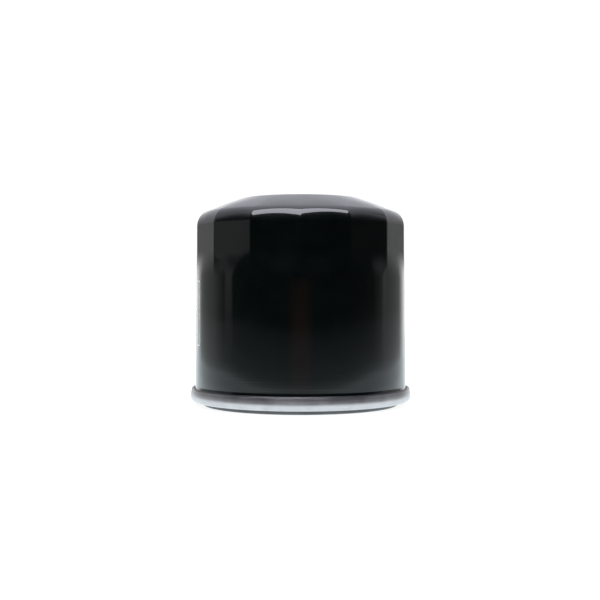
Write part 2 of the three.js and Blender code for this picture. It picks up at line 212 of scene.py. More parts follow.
class Shell:
    """A mesh that grows from grids of points, in millimetres."""

    def __init__(self):
        self.points = []
        self.faces = []

    def grid(self, points, wrap_rows=False, wrap_columns=False):
        """Quads between neighbours of an array of points [row, column, xyz]."""
        rows, columns = points.shape[:2]
        first = len(self.points)
        self.points += points.reshape(-1, 3).tolist()
        for i in range(rows if wrap_rows else rows - 1):
            for j in range(columns if wrap_columns else columns - 1):
                right, up = (j + 1) % columns, (i + 1) % rows
                corners = ((i, j), (i, right), (up, right), (up, j))
                self.faces.append([first + a * columns + b for a, b in corners])
        return self

    def fan(self, loop, centre):
        """Triangles from a loop of points to one point."""
        first = len(self.points)
        count = len(loop)
        self.points += np.array(loop).tolist() + [list(centre)]
        self.faces += [[first + i, first + (i + 1) % count, first + count] for i in range(count)]
        return self

    def revolve(self, profile, angles, closed=True, shape=None):
        """Turns [r, z] points about Z; shape(r, z, angle) may move them. An outline may end on the axis."""
        profile = np.array(profile, float)
        turned = np.broadcast_to(angles, (len(profile), len(angles)))
        radii = np.repeat(profile[:, :1], len(angles), axis=1)
        heights = np.repeat(profile[:, 1:], len(angles), axis=1)
        if shape:
            radii, heights = shape(radii, heights, turned)
        points = round_about(radii, heights, turned)
        on_axis = profile[:, 0] == 0
        if on_axis[0]:
            self.fan(points[1], points[0, 0])
        if on_axis[-1]:
            self.fan(points[-2], points[-1, 0])
        wrap = closed and not on_axis.any()
        return self.grid(points[~on_axis], wrap_rows=wrap, wrap_columns=True)

    def piece(self, name, body, slot, material, replaces=(), sharp=35):
        """The finished Blender object, in metres, riding on its body."""
        mesh = bpy.data.meshes.new(name)
        mesh.from_pydata((np.array(self.points) * MM).tolist(), [], self.faces)
        work = bmesh.new()
        work.from_mesh(mesh)
        bmesh.ops.remove_doubles(work, verts=work.verts, dist=WELD)
        bmesh.ops.dissolve_degenerate(work, edges=work.edges, dist=SLIVER)
        bmesh.ops.recalc_face_normals(work, faces=work.faces)
        work.to_mesh(mesh)
        work.free()
        mesh.shade_smooth()
        mesh.set_sharp_from_angle(angle=math.radians(sharp))
        mesh.materials.append(material)
        made = bpy.data.objects.new(name, mesh)
        bpy.context.scene.collection.objects.link(made)
        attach(made, body)
        if replaces:
            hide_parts(*replaces)
        return made


def holed_cell(shell, edge, centre, hole, levels, place):
    """A cell of sheet with a hole. edge is its outline in 2D, hole(direction) the distance to the hole's edge.
    levels has pairs of how far outside the hole's edge, or None for the cell's outline, and the depth.
    place(points, depth) puts 2D points in space."""
    edge, centre = np.array(edge, float), np.array(centre, float)
    direction = edge - centre
    direction /= np.linalg.norm(direction, axis=1)[:, None]
    reach = np.array([hole(d) for d in direction])[:, None]
    rows = []
    for outside, depth in levels:
        flat = edge if outside is None else centre + direction * (reach + outside)
        rows.append(place(flat, depth))
    shell.grid(np.array(rows), wrap_columns=True)


def hole_levels(bottom, top, lip, steps=3):
    """The levels of a hole through sheet from one depth to another, with rounded edges."""
    bends = np.radians(np.linspace(0, 90, steps + 1))
    low = [(lip * (1 - math.sin(a)), bottom + lip * (1 - math.cos(a))) for a in bends]
    high = [(outside, top + bottom - depth) for outside, depth in reversed(low)]
    return [(None, bottom), *low, *high, (None, top)]


def cell_edge(left, right, low, high, across, up):
    """A rectangle's outline in 2D, split evenly along both sides."""
    x, y = np.linspace(left, right, across + 1), np.linspace(low, high, up + 1)
    return np.array(
        [(a, low) for a in x[:-1]]
        + [(right, b) for b in y[:-1]]
        + [(a, high) for a in x[:0:-1]]
        + [(left, b) for b in y[:0:-1]]
    )


# ---- materials ----


class Nodes:
    """Short ways to write a node tree."""

    def __init__(self, tree):
        self.tree = tree

    def node(self, kind, inputs=(), **settings):
        """A shader node; inputs maps its sockets, by name or number, to values or other nodes' outputs."""
        made = self.tree.nodes.new("ShaderNode" + kind)
        for key, value in settings.items():
            setattr(made, key, value)
        for key, value in dict(inputs).items():
            self.feed(made.inputs[key], value)
        return made

    def feed(self, socket, value):
        if isinstance(value, bpy.types.NodeSocket):
            self.tree.links.new(value, socket)
        else:
            socket.default_value = value

    def math(self, operation, a, b=0.0):
        return self.node("Math", {0: a, 1: b}, operation=operation).outputs[0]

    def split(self, vector):
        return self.node("SeparateXYZ", {0: vector}).outputs

    def between(self, value, low, high, to_low=0.0, to_high=1.0):
        """A value mapped from one range to another, clamped."""
        inputs = {"Value": value, "From Min": low, "From Max": high, "To Min": to_low, "To Max": to_high}
        return self.node("MapRange", inputs).outputs[0]

    def ramp(self, value, stops):
        """A value read off straight lines between stops, which are (value, result)."""
        low, high = stops[0][0], stops[-1][0]
        made = self.node("ValToRGB", {0: self.between(value, low, high)})
        for i, (place, result) in enumerate(stops):
            place = (place - low) / (high - low)
            stop = made.color_ramp.elements[i] if i < 2 else made.color_ramp.elements.new(place)
            stop.position = place
            stop.color = (result, result, result, 1)
        return made.outputs[0]

    def mixed(self, share, first, second):
        """Two colours mixed by a share."""
        made = self.node("Mix", data_type="RGBA")
        for socket, value in ((made.inputs[0], share), (made.inputs[6], first), (made.inputs[7], second)):
            self.feed(socket, (*value, 1) if isinstance(value, tuple) else value)
        return made.outputs[2]


class Look(Nodes):
    """A material's nodes: what the looks of the object share."""

    def __init__(self, name, color, roughness, metallic=0.0, specular=0.5):
        self.material = bpy.data.materials.new(name)
        self.material.use_nodes = True
        super().__init__(self.material.node_tree)
        self.shader = self.tree.nodes["Principled BSDF"]
        self.set("Base Color", (*color, 1))
        self.set("Roughness", roughness)
        self.set("Metallic", metallic)
        self.set("Specular IOR Level", specular)
        self.place = self.node("TexCoord").outputs["Object"]
        self.normal = None

    def set(self, socket, value):
        self.feed(self.shader.inputs[socket], value)

    def stretched(self, scale):
        """The place on the object, with each axis scaled."""
        return self.node("Mapping", {"Vector": self.place, "Scale": scale}).outputs[0]

    def wound(self, around, along, outwards=1.0):
        """The place as scaled (angle round Z, distance from Z, height), for marks that run round the axis."""
        x, y, z = self.split(self.place)
        angle = self.math("ARCTAN2", y, x)
        flat = self.node("VectorMath", {0: self.place, 1: (1, 1, 0)}, operation="MULTIPLY").outputs[0]
        radius = self.node("VectorMath", {0: flat}, operation="LENGTH").outputs["Value"]
        joined = self.node("CombineXYZ", {0: angle, 1: radius, 2: z}).outputs[0]
        return self.node("Mapping", {"Vector": joined, "Scale": (around, outwards, along)}).outputs[0]

    def noise(self, scale, detail=3.0, place=None):
        inputs = {"Vector": place or self.place, "Scale": scale, "Detail": detail}
        return self.node("TexNoise", inputs).outputs["Fac"]

    def bump(self, height, strength, distance):
        """Adds relief; distance is the height in metres between black and white."""
        inputs = {"Height": height, "Strength": strength, "Distance": distance}
        if self.normal:
            inputs["Normal"] = self.normal
        self.normal = self.node("Bump", inputs).outputs[0]
        self.set("Normal", self.normal)


def gloss_paint():
    """Black stoved paint: clear gloss on a hazy base, with orange peel, draw marks, rings and dust."""
    look = Look("gloss_black_paint", PAINT_BLACK, 0.32, specular=0.08)
    look.set("Coat Weight", 0.8)
    look.set("Coat Roughness", 0.05)
    look.set("Coat IOR", 1.5)
    dust = look.between(look.noise(5200, 1.0), 0.74, 0.80)
    patches = look.between(look.noise(70, 3.0), 0.35, 0.75)
    specks = look.math("MULTIPLY", dust, patches)
    look.set("Base Color", look.mixed(specks, PAINT_BLACK, DUST))
    look.set("Roughness", look.between(look.noise(160, 4.0), 0.3, 0.7, 0.28, 0.38))
    orange_peel = look.noise(520, 2.0)
    draw_marks = look.noise(1, 3.0, look.wound(26, 9))
    near_foot = look.between(look.split(look.place)[2], 8 * MM, 22 * MM, 1, 0)
    rings = look.math("MULTIPLY", look.noise(1, 2.0, look.wound(0.8, 1500, 0)), near_foot)
    look.bump(orange_peel, 0.5, 1.2e-6)
    look.bump(draw_marks, 0.5, 8e-6)
    look.bump(rings, 0.5, 1.5e-5)
    look.set("Coat Normal", look.normal)
    return look.material


def plated_steel():
    """Dull tin-plated sheet, marked by the seaming rolls, with painted shade that darkens it towards the top,
    standing in for the dark room reflected there.
    """
    look = Look("plated_steel", (0.50, 0.485, 0.49), 0.35, metallic=1.0)
    marks = look.noise(1, 4.0, look.wound(3, 5200, 5200))
    spots = look.noise(240, 4.0)
    tone = look.mixed(look.between(spots, 0.3, 0.7), (0.46, 0.445, 0.45), (0.56, 0.54, 0.55))
    height = look.math("ADD", look.split(look.place)[2], look.between(spots, 0.3, 0.7, -0.04 * MM, 0.04 * MM))
    # painted shade: the base colour turns near black towards the top of the ring, half strength first and then
    # full, in place of the dark reflection there
    half_shade = look.between(height, HALF_SHADE_BOTTOM * MM, (HALF_SHADE_BOTTOM + 1) * MM, 0, 0.5)
    full_shade = look.between(height, FULL_SHADE_BOTTOM * MM, (FULL_SHADE_BOTTOM + 0.15) * MM)
    painted_shade = look.math("MAXIMUM", half_shade, full_shade)
    look.set("Base Color", look.mixed(painted_shade, tone, (0.03, 0.03, 0.032)))
    rolled = look.between(marks, 0.3, 0.7, 0.30, 0.38)
    look.set("Roughness", look.math("ADD", rolled, look.between(spots, 0.3, 0.7, 0, 0.06)))
    look.bump(marks, 0.35, 6e-6)
    look.bump(look.noise(420, 3.0), 0.3, 4e-6)
    return look.material


def pressed_steel():
    """Plain sheet steel with a film of oil."""
    look = Look("pressed_steel", (0.5, 0.5, 0.51), 0.4, metallic=1.0)
    cloud = look.noise(130, 5.0)
    film = look.between(cloud, 0.35, 0.7)
    look.set("Base Color", look.mixed(film, (0.40, 0.40, 0.41), (0.60, 0.595, 0.58)))
    look.set("Roughness", look.between(look.noise(420, 4.0), 0.3, 0.7, 0.28, 0.46))
    look.bump(look.noise(1, 3.0, look.stretched((300, 2600, 900))), 0.3, 5e-6)
    return look.material


def spring_wire():
    """Drawn spring wire, dark, with marks along it."""
    look = Look("spring_wire", (0.3, 0.3, 0.32), 0.35, metallic=1.0)
    marks = look.noise(1, 3.0, look.wound(6, 4200, 4200))
    look.set("Base Color", look.mixed(look.between(marks, 0.3, 0.7), (0.22, 0.22, 0.24), (0.42, 0.42, 0.44)))
    look.set("Roughness", look.between(look.noise(600, 3.0), 0.3, 0.7, 0.25, 0.42))
    look.bump(marks, 0.3, 5e-6)
    return look.material


def rubber(name, dark, light, roughness):
    """Moulded rubber with a fine matt grain and a faint bloom."""
    look = Look(name, dark, roughness, specular=0.45)
    bloom = look.between(look.noise(180, 4.0), 0.4, 0.75)
    look.set("Base Color", look.mixed(bloom, dark, light))
    look.set("Roughness", look.between(look.noise(900, 3.0), 0.3, 0.7, roughness - 0.08, roughness + 0.08))
    look.bump(look.noise(3800, 2.0), 0.4, 8e-6)
    return look.material


def dull(name, dark, light, roughness, grain):
    """A dull cast or printed material with uneven colour and grain."""
    look = Look(name, dark, roughness, specular=0.4)
    cloud = look.noise(grain / 6, 4.0)
    look.set("Base Color", look.mixed(look.between(cloud, 0.3, 0.7), dark, light))
    look.set("Roughness", look.between(cloud, 0.3, 0.7, roughness - 0.1, min(1.0, roughness + 0.1)))
    look.bump(look.noise(grain, 3.0), 0.5, 2e-5)
    return look.material


def filter_paper():
    """Resin-treated paper: fibres in every direction, and a patchy tint."""
    look = Look("filter_paper", (0.62, 0.42, 0.17), 0.85, specular=0.2)
    fibres = look.noise(1, 5.0, look.stretched((2600, 2600, 900)))
    patches = look.between(look.noise(120, 4.0), 0.3, 0.7)
    tint = look.mixed(patches, (0.55, 0.36, 0.13), (0.72, 0.52, 0.24))
    look.set("Base Color", look.mixed(look.between(fibres, 0.4, 0.8), tint, (0.80, 0.63, 0.36)))
    look.bump(fibres, 0.6, 4e-5)
    return look.material


PAINT_BLACK = (0.0004, 0.0016, 0.0013)
DUST = (0.05, 0.05, 0.055)
PAINT = gloss_paint()
PLATED = plated_steel()
STEEL = pressed_steel()
WIRE = spring_wire()
GASKET_RUBBER = rubber("gasket_rubber", (0.08, 0.08, 0.085), (0.12, 0.12, 0.125), 0.45)
NITRILE = rubber("nitrile_rubber", (0.16, 0.04, 0.02), (0.24, 0.08, 0.045), 0.55)
COMPOUND = dull("seam_compound", (0.24, 0.26, 0.26), (0.34, 0.36, 0.36), 0.7, 1500)
PLASTISOL = dull("plastisol", (0.55, 0.50, 0.37), (0.68, 0.63, 0.50), 0.55, 900)
PRINT = dull("white_print", (0.50, 0.50, 0.52), (0.66, 0.66, 0.68), 0.45, 5000)
PAPER = filter_paper()

# ---- can ----


def soft_min(a, b, width):
    """The smaller of a and b, with the corner between them rounded over a width."""
    share = np.clip(width - np.abs(a - b), 0, None) / width
    return np.minimum(a, b) - share * share * width / 4


def eased(values, start, end):
    """0 before start, 1 after end, and a smooth step between them; start may be the higher one."""
    share = np.clip((values - start) / (end - start), 0, 1)
    return share * share * (3 - 2 * share)


def flat_depth(angles):
    """How far the flats lie inside the can's circle, with slightly rounded corners between them."""
    across = angles % (TURN / FLATS) - TURN / FLATS / 2
    own = APOTHEM / np.cos(across)
    beside = APOTHEM / np.cos(TURN / FLATS - np.abs(across))
    return CAN - soft_min(own, beside, CORNER_SOFTNESS)


def can_skin(radii, heights, angles):
    """Presses the flats into the can. They run out below, and over the shoulder."""
    pressed = eased(heights, *FLATS_FOOT) * eased(heights, *FLATS_HEAD)
    ripple = 0.012 * np.sin(3 * angles + heights * 0.11) + 0.008 * np.sin(heights * 0.35 + 2 * angles)
    wavy = ripple * eased(heights, 8, 16) * eased(heights, TOP - 6, TOP - 10)
    return radii - flat_depth(angles) * pressed + wavy, heights


def bowed(start, start_slope, end, end_slope, steps):
    """Points on a curve that leaves start and reaches end at the given slopes, in degrees below the level."""
    (r0, z0), (r1, z1) = start, end
    t0, t1 = math.tan(math.radians(start_slope)), math.tan(math.radians(end_slope))
    r = (z1 - z0 - t0 * r0 + t1 * r1) / (t1 - t0)
    bend = np.array([r, z0 + t0 * (r0 - r)])
    shares = np.linspace(0, 1, steps + 1)[:, None]
    curve = np.array(start) * (1 - shares) ** 2 + 2 * bend * shares * (1 - shares) + np.array(end) * shares**2
    return curve.tolist()


def dome_profile(depth):
    """From the foot of the shoulder's rounding up to the axis."""
    low_slope, high_slope = SLOPE + CONE_BOW, SLOPE - CONE_BOW
    reach = CROWN_ROUND * math.tan(math.radians(SLOPE) / 2)
    crown_r = CROWN - depth * math.tan(math.radians(SLOPE) / 2) - reach
    shoulder = arc(CAN - SHOULDER, FILLET_Z, SHOULDER - depth, 0, 90 - low_slope, 26)
    crown = arc(crown_r, TOP - depth - CROWN_ROUND, CROWN_ROUND, 90 - high_slope, 90, 8)
    cone = bowed(shoulder[-1], low_slope, crown[0], high_slope, 12)
    flat = [[r, TOP - depth] for r in np.linspace(crown_r, 0, 8)[1:]]
    return shoulder + cone[1:-1] + crown + flat


def side_rows(radius, low):
    """The can's side from a height up to the shoulder, close together where the flats run out."""
    foot, full = FLATS_FOOT
    run_out = np.arange(foot, full, 0.38)
    rows = [*np.linspace(low, foot, 14)[:-1], *run_out, *np.linspace(full, FILLET_Z, 6)[:-1]]
    return [[radius, z] for z in rows]


def make_can():
    """The drawn can, from its hook inside the seam up to the flat crown."""
    hook_outer = FLANGE - SHEET - 1.5 * GAP
    foot = rounded(
        (CAN - WALL, HOOK_BOTTOM, 0),
        (CAN + 0.3, HOOK_BOTTOM, 0.3),
        (hook_outer, HOOK_BEND, 0.3),
        (hook_outer, HOOK_TOP, 0.15),
        (hook_outer - SHEET, HOOK_TOP, 0.15),
        (hook_outer - SHEET, HOOK_BEND, 0.12),
        (CAN, HOOK_BEND, 0.12),
        (CAN, FLANGE_TOP - 0.9, 0),
    )
    swell = arc(CAN + PAINT_SWELL, PAINT_FOOT + 0.95, PAINT_SWELL, 201, 180, 10)
    outside = foot + swell + side_rows(CAN, PAINT_FOOT + 1.6) + dome_profile(0)
    inside = [[CAN - WALL, HOOK_BOTTOM]] + side_rows(CAN - WALL, HOOK_BEND + 0.6) + dome_profile(WALL)
    pitch = TURN / FLATS
    columns = 24  # to a flat, closer together at its corners
    spread = (1 - np.cos(np.linspace(0, math.pi, columns + 1)[:-1])) / 2 * pitch
    angles = np.concatenate([i * pitch + spread for i in range(FLATS)])
    shell = Shell().revolve(outside, angles, closed=False, shape=can_skin)
    shell.revolve(inside, angles, closed=False, shape=can_skin)
    shell.piece("filter_can", "housing", "gloss_black_paint", PAINT, ["can"])


def make_marking():
    """A generic printed panel: an outlined rectangle with plain bars of random lengths in it."""
    shell = Shell()
    above, below = 0.015, -0.03  # the print's two faces, from the can's surface

    def bar(left, right, low, high):
        angles = np.linspace(left, right, max(2, round(abs(right - left) * CAN / 0.5) + 1))
        rows = np.linspace(low, high, max(2, round((high - low) / 1.5) + 1))
        turned, heights = np.meshgrid(angles, rows)
        radii = can_skin(np.full(turned.shape, CAN), heights, turned)[0]
        outer, inner = (round_about(radii + offset, heights, turned) for offset in (above, below))
        shell.grid(outer)
        shell.grid(inner)
        for side in (0, -1):
            shell.grid(np.array([outer[side], inner[side]]))
        for side in (0, -1):
            shell.grid(np.array([outer[:, side], inner[:, side]]))

    stroke = 0.3
    stroke_angle = stroke / CAN
    right, width = math.radians(-68), math.radians(46)
    left = right - width
    low, high = 18.9, 38.8
    margin = 2.2
    bar(right - stroke_angle, right, low, high)
    bar(left, left + stroke_angle, low, high)
    bar(left + stroke_angle, right - stroke_angle, low, low + stroke)
    bar(left + stroke_angle, right - stroke_angle, high - stroke, high)
    for i in range(PANEL_BARS):
        middle = right - width * (i + 1) / (PANEL_BARS + 1)
        length = (high - low) * random.uniform(0.35, 0.8)
        bar(middle - stroke_angle, middle + stroke_angle, low + margin, low + margin + length)
    shell.piece("printed_panel", "housing", "white_print", PRINT)


# ---- mouth end ----


def make_seam_cover():
    floor_top, land_top = CHANNEL_FLOOR + SHEET, LAND_BOTTOM + SHEET
    round_r, round_z = FLANGE - SEAM_ROUND, FLANGE_BOTTOM + SEAM_ROUND
    bulge_r = FLANGE - SEAM_BULGE
    lean = math.radians(SEAM_LEAN)
    fold_z = FLANGE_TOP - FOLD_ROUND
    rise = fold_z + FOLD_ROUND * math.sin(lean) - SEAM_WAIST - SEAM_BULGE * math.sin(lean)
    fold_r = bulge_r + (SEAM_BULGE - FOLD_ROUND) * math.cos(lean) - rise * math.tan(lean)
    end_inner, end_outer = CAN + GAP, CAN + GAP + SHEET
    below = rounded(
        (LAND_INNER, LAND_BOTTOM, 0),
        (CHANNEL_INNER, LAND_BOTTOM, 0.35),
        (CHANNEL_INNER, CHANNEL_FLOOR, 0.15),
        (CHANNEL_OUTER, CHANNEL_FLOOR, 0.15),
        (CHANNEL_OUTER, FLANGE_BOTTOM, 0.45),
        (round_r, FLANGE_BOTTOM, 0),
    )[:-1]
    outer = arc(round_r, round_z, SEAM_ROUND, -90, 0, 14)
    outer += arc(bulge_r, SEAM_WAIST, SEAM_BULGE, 0, SEAM_LEAN, 5)
    outer += arc(fold_r, fold_z, FOLD_ROUND, SEAM_LEAN, 180, 12)
    end = [[end_inner, HOOK_TOP], [end_inner, FOLD_BOTTOM], [end_outer, FOLD_BOTTOM], [end_outer, HOOK_TOP]]
    inner = arc(fold_r, fold_z, FOLD_ROUND - SHEET, 180, SEAM_LEAN, 3)
    inner += arc(bulge_r, SEAM_WAIST, SEAM_BULGE - SHEET, SEAM_LEAN, 0, 5)
    inner += arc(round_r, round_z, SEAM_ROUND - SHEET, 0, -90, 10)
    above = rounded(
        (CHANNEL_OUTER + SHEET, FLANGE_BOTTOM + SHEET, 0.1),
        (CHANNEL_OUTER + SHEET, floor_top, 0.4),
        (CHANNEL_INNER - SHEET, floor_top, 0.4),
        (CHANNEL_INNER - SHEET, land_top, 0.1),
        (LAND_INNER, land_top, 0),
    )
    profile = refined(below + outer + end + inner + above, 0.55)
    welds, weld_circle, weld_radius, weld_depth = 8, 23.4, 0.95, 0.16

    def welds_and_rolling(radii, heights, angles):
        """Round weld marks on the land, and the faint unevenness that the seaming rolls leave."""
        pitch = TURN / welds
        from_weld = (angles + pitch / 2) % pitch - pitch / 2
        away = np.hypot(radii - weld_circle, from_weld * radii)
        land = (heights < LAND_BOTTOM + 0.01) & (radii < CHANNEL_INNER - 0.3)
        crater = weld_depth * np.exp(-((away / weld_radius) ** 4)) * land
        rolled = 0.012 * np.sin(9 * angles) + 0.008 * np.sin(23 * angles + 1)
        on_ring = np.clip((radii - CAN) / 1.5, 0, 1)
        return radii, heights + crater + rolled * on_ring

    shell = Shell().revolve(profile, even_angles(320), shape=welds_and_rolling)
    shell.piece("seam_cover_ring", "housing", "plated_steel", PLATED, ["seam_cover"])


def make_gasket():
    """A ring of nearly square section, with a mould line round its outer face."""
    width = 4.5
    inner = GASKET - width
    middle = (GASKET_BOTTOM + GASKET_TOP) / 2
    line_height, line_depth = 0.24, 0.04
    profile = rounded(
        (inner, GASKET_BOTTOM, 0.45),
        (GASKET, GASKET_BOTTOM, 0.45),
        (GASKET, middle - line_height / 2, 0),
        (GASKET + line_depth, middle, 0),
        (GASKET, middle + line_height / 2, 0),
        (GASKET, GASKET_TOP, 0.3),
        (inner, GASKET_TOP, 0.3),
        steps=6,
    )
    shell = Shell().revolve(refined(profile, 0.8), even_angles(224))
    shell.piece("gasket_ring", "housing", "black_rubber", GASKET_RUBBER, ["gasket"], sharp=60)


def make_sealant():
    outer, low, high = outline("seam_sealant")
    inner = 31.4
    profile = square_ring(inner, outer, low, high, (0.1, 0.1, 0.12, 0.12))

    def uneven(radii, heights, angles):
        return radii - 0.05 * (1 + np.sin(17 * angles) * np.sin(5 * angles)), heights

    shell = Shell().revolve(profile, even_angles(168), shape=uneven)
    shell.piece("seam_sealant_bead", "housing", "seam_compound", COMPOUND, ["seam_sealant"])


def thread_form(low, high):
    """The shape function of a right-hand internal thread that fades out at both ends."""
    depth = THREAD_MAJOR - THREAD_MINOR
    flank_slope = math.tan(math.pi / 6)
    half_groove = depth * flank_slope + THREAD_PITCH / 16
    run_out = 0.6

    def shape(radii, heights, angles):
        phase = (heights / THREAD_PITCH - angles / TURN) % 1
        away = np.abs(phase - 0.5) * THREAD_PITCH
        groove = np.clip((half_groove - away) / flank_slope, 0, depth)
        fade = np.clip((heights - low) / run_out, 0, 1) * np.clip((high - heights) / run_out, 0, 1)
        return radii + groove * fade, heights

    return shape


def make_base_plate():
    """The dished plate: plain rings inside and outside a belt of cells, one for each inlet hole."""
    rim_bottom = CHANNEL_FLOOR + SHEET + GAP
    top, rim_top = PLATE_BOTTOM + PLATE_THICKNESS, rim_bottom + PLATE_THICKNESS
    dish = CHANNEL_INNER - SHEET - 2 * GAP
    belt = (14.6, 21.4)  # radii
    per_inlet = 20  # columns
    angles = even_angles(INLETS * per_inlet)
    mouth = THREAD_MAJOR + 2 * GAP
    chamfer = mouth - THREAD_MINOR
    outer = rounded(
        (belt[1], PLATE_BOTTOM, 0),
        (dish, PLATE_BOTTOM, 0.35),
        (dish, rim_bottom, 0.1),
        (PLATE, rim_bottom, 0.2),
        (PLATE, rim_top, 0.3),
        (dish - 0.6, rim_top, 0.6),
        (dish - 1.6, top, 0.5),
        (belt[1], top, 0),
    )
    hub = rounded(
        (belt[0], top, 0),
        (HUB, top, 0.6),
        (HUB, HUB_TOP, 0.35),
        (mouth, HUB_TOP, 0),
        (THREAD_MINOR, HUB_TOP - chamfer, 0),
    )
    low, high = PLATE_BOTTOM + chamfer, HUB_TOP - chamfer
    bore = refined([[THREAD_MINOR, high], [THREAD_MINOR, low]], 0.1, closed=False)
    mouth_ring = [[THREAD_MINOR, low], [mouth, PLATE_BOTTOM], [belt[0], PLATE_BOTTOM]]
    shell = Shell()
    shell.revolve(refined(outer, 1.2, closed=False), angles, closed=False)
    shell.revolve(refined(hub, 1.2, closed=False), angles, closed=False)
    shell.revolve(bore, angles, closed=False, shape=thread_form(low, high))
    shell.revolve(mouth_ring, angles, closed=False)
    half = TURN / INLETS / 2
    around = np.linspace(-half, half, per_inlet + 1)
    radial = np.linspace(*belt, 9)
    levels = hole_levels(PLATE_BOTTOM, top, 0.3)

    def place(points, depth):
        return np.column_stack([points, np.full(len(points), depth)])

    for i in range(INLETS):
        centre_angle = i * TURN / INLETS
        edge = (
            [(belt[1], a) for a in around[:-1]]
            + [(r, half) for r in radial[:0:-1]]
            + [(belt[0], a) for a in around[:0:-1]]
            + [(r, -half) for r in radial[:-1]]
        )
        flat = [round_about(r, 0.0, a + centre_angle)[:2] for r, a in edge]
        centre = round_about(INLET_CIRCLE, 0.0, centre_angle)[:2]
        holed_cell(shell, flat, centre, lambda direction: INLET, levels, place)
    shell.piece("threaded_base_plate", "housing", "plain_steel", STEEL, ["base_plate"])


# ---- anti-drainback valve ----


def make_drainback_valve():
    """The valve's collar round the hub, and the lip that lies over the inlets."""
    inner = HUB + CLEARANCE
    step = 0.5
    collar = rounded(
        (inner, COLLAR_BOTTOM, 0.15),
        (COLLAR, COLLAR_BOTTOM, 0.3),
        (COLLAR, COLLAR_TOP - 1.4, 0.3),
        (COLLAR - step, COLLAR_TOP - 0.9, 0.2),
        (COLLAR - step, COLLAR_TOP, 0.3),
        (inner, COLLAR_TOP, 0.15),
    )
    shell = Shell().revolve(refined(collar, 0.8), even_angles(128))
    shell.piece("drainback_valve_collar", "housing", "nitrile_rubber", NITRILE, ["anti_drainback_collar"])
    root = HUB + 3
    lip = rounded(
        (root, FLAP_TOP - 1, 0.2),
        (root + 4.2, FLAP_TOP - 1.75, 1.5),
        (FLAP - 0.9, FLAP_BOTTOM + 0.02, 0.3),
        (FLAP, FLAP_BOTTOM, 0.15),
        (FLAP, FLAP_BOTTOM + 0.5, 0.2),
        (root + 4.5, FLAP_TOP - 0.8, 1.5),
        (root, FLAP_TOP, 0.3),
    )
    shell = Shell().revolve(refined(lip, 0.8), even_angles(168))
    shell.piece("drainback_valve_lip", "drainback_flap", "nitrile_rubber", NITRILE, ["anti_drainback_flap"])


# ---- filter element ----


def make_end_cap(name, node, face, direction, bore):
    """A pressed end cap with a shallow stiffening groove and a rim turned in a direction, 1 or -1."""
    rim = face + direction * (LOWER_RIM - CAP_BOTTOM)
    back = face + direction * SHEET
    groove = face + direction * 0.12
    corners = [
        (bore, face, 0.12),
        (19.4, face, 0.4),
        (19.9, groove, 0.3),
        (21.1, groove, 0.3),
        (21.6, face, 0.4),
        (ELEMENT, face, 0.7),
        (ELEMENT, rim, 0.15),
        (ELEMENT - SHEET, rim, 0.15),
        (ELEMENT - SHEET, back, 0.35),
        (bore, back, 0.12),
    ]
    shell = Shell().revolve(refined(rounded(*corners), 1.2), even_angles(196))
    shell.piece(name, "element", "plain_steel", STEEL, [node])


def make_potting(name, node):
    low, high = outline(node)[1:]
    inner, outer = TUBE + 2 * GAP, ELEMENT - SHEET - 2 * GAP
    profile = square_ring(inner, outer, low, high, (0.1, 0.2, 0.2, 0.1))
    top_is_open = node == "lower_potting"

    def meniscus(radii, heights, angles):
        """The open face dips and swells a little where it was poured."""
        free = heights > high - 0.02 if top_is_open else heights < low + 0.02
        swell = 0.08 * (np.sin(PLEATS * angles) * 0.4 + np.sin(5 * angles) - 1.4) * free
        return radii, heights + (swell if top_is_open else -swell) / 2

    shell = Shell().revolve(refined(profile, 1.0), even_angles(252), shape=meniscus)
    shell.piece(name, "element", "adhesive", PLASTISOL, [node], sharp=60)


def make_media():
    """The star-folded paper, with round folds that are a little uneven."""
    inner, thickness, fold = 14.0, 0.5, 0.55
    deep = inner + thickness / 2 + fold
    pitch = TURN / PLEATS
    centreline = []
    normals = []
    bends = np.radians(np.linspace(-90, 90, 9))
    for i in range(PLEATS):
        peak = i * pitch + (random.uniform(-0.01, 0.01) if i else 0)
        reach = MEDIA - thickness / 2 - fold - (random.uniform(0, 0.35) if i else 0)
        valley = (i + 0.5) * pitch + random.uniform(-0.006, 0.006)
        for bend in bends:
            local = np.array([reach + fold * math.cos(bend), fold * math.sin(bend)])
            centreline.append((peak, local))
            normals.append((peak, np.array([math.cos(bend), math.sin(bend)])))
        for bend in bends:
            local = np.array([deep - fold * math.cos(bend), fold * math.sin(bend)])
            centreline.append((valley, local))
            normals.append((valley, np.array([math.cos(bend), -math.sin(bend)])))

    def turned(angle, local):
        radial = np.array([math.sin(angle), -math.cos(angle)])
        tangent = np.array([math.cos(angle), math.sin(angle)])
        return radial * local[0] + tangent * local[1]

    line = np.array([turned(*p) for p in centreline])
    outwards = np.array([turned(*n) for n in normals])
    loops = []
    for side, height in ((1, MEDIA_BOTTOM), (1, MEDIA_TOP), (-1, MEDIA_TOP), (-1, MEDIA_BOTTOM)):
        flat = line + outwards * side * thickness / 2
        loops.append(np.column_stack([flat, np.full(len(flat), height)]))
    shell = Shell().grid(np.array(loops), wrap_rows=True, wrap_columns=True)
    shell.piece("pleated_paper", "element", "filter_paper", PAPER, ["pleated_media"], sharp=50)


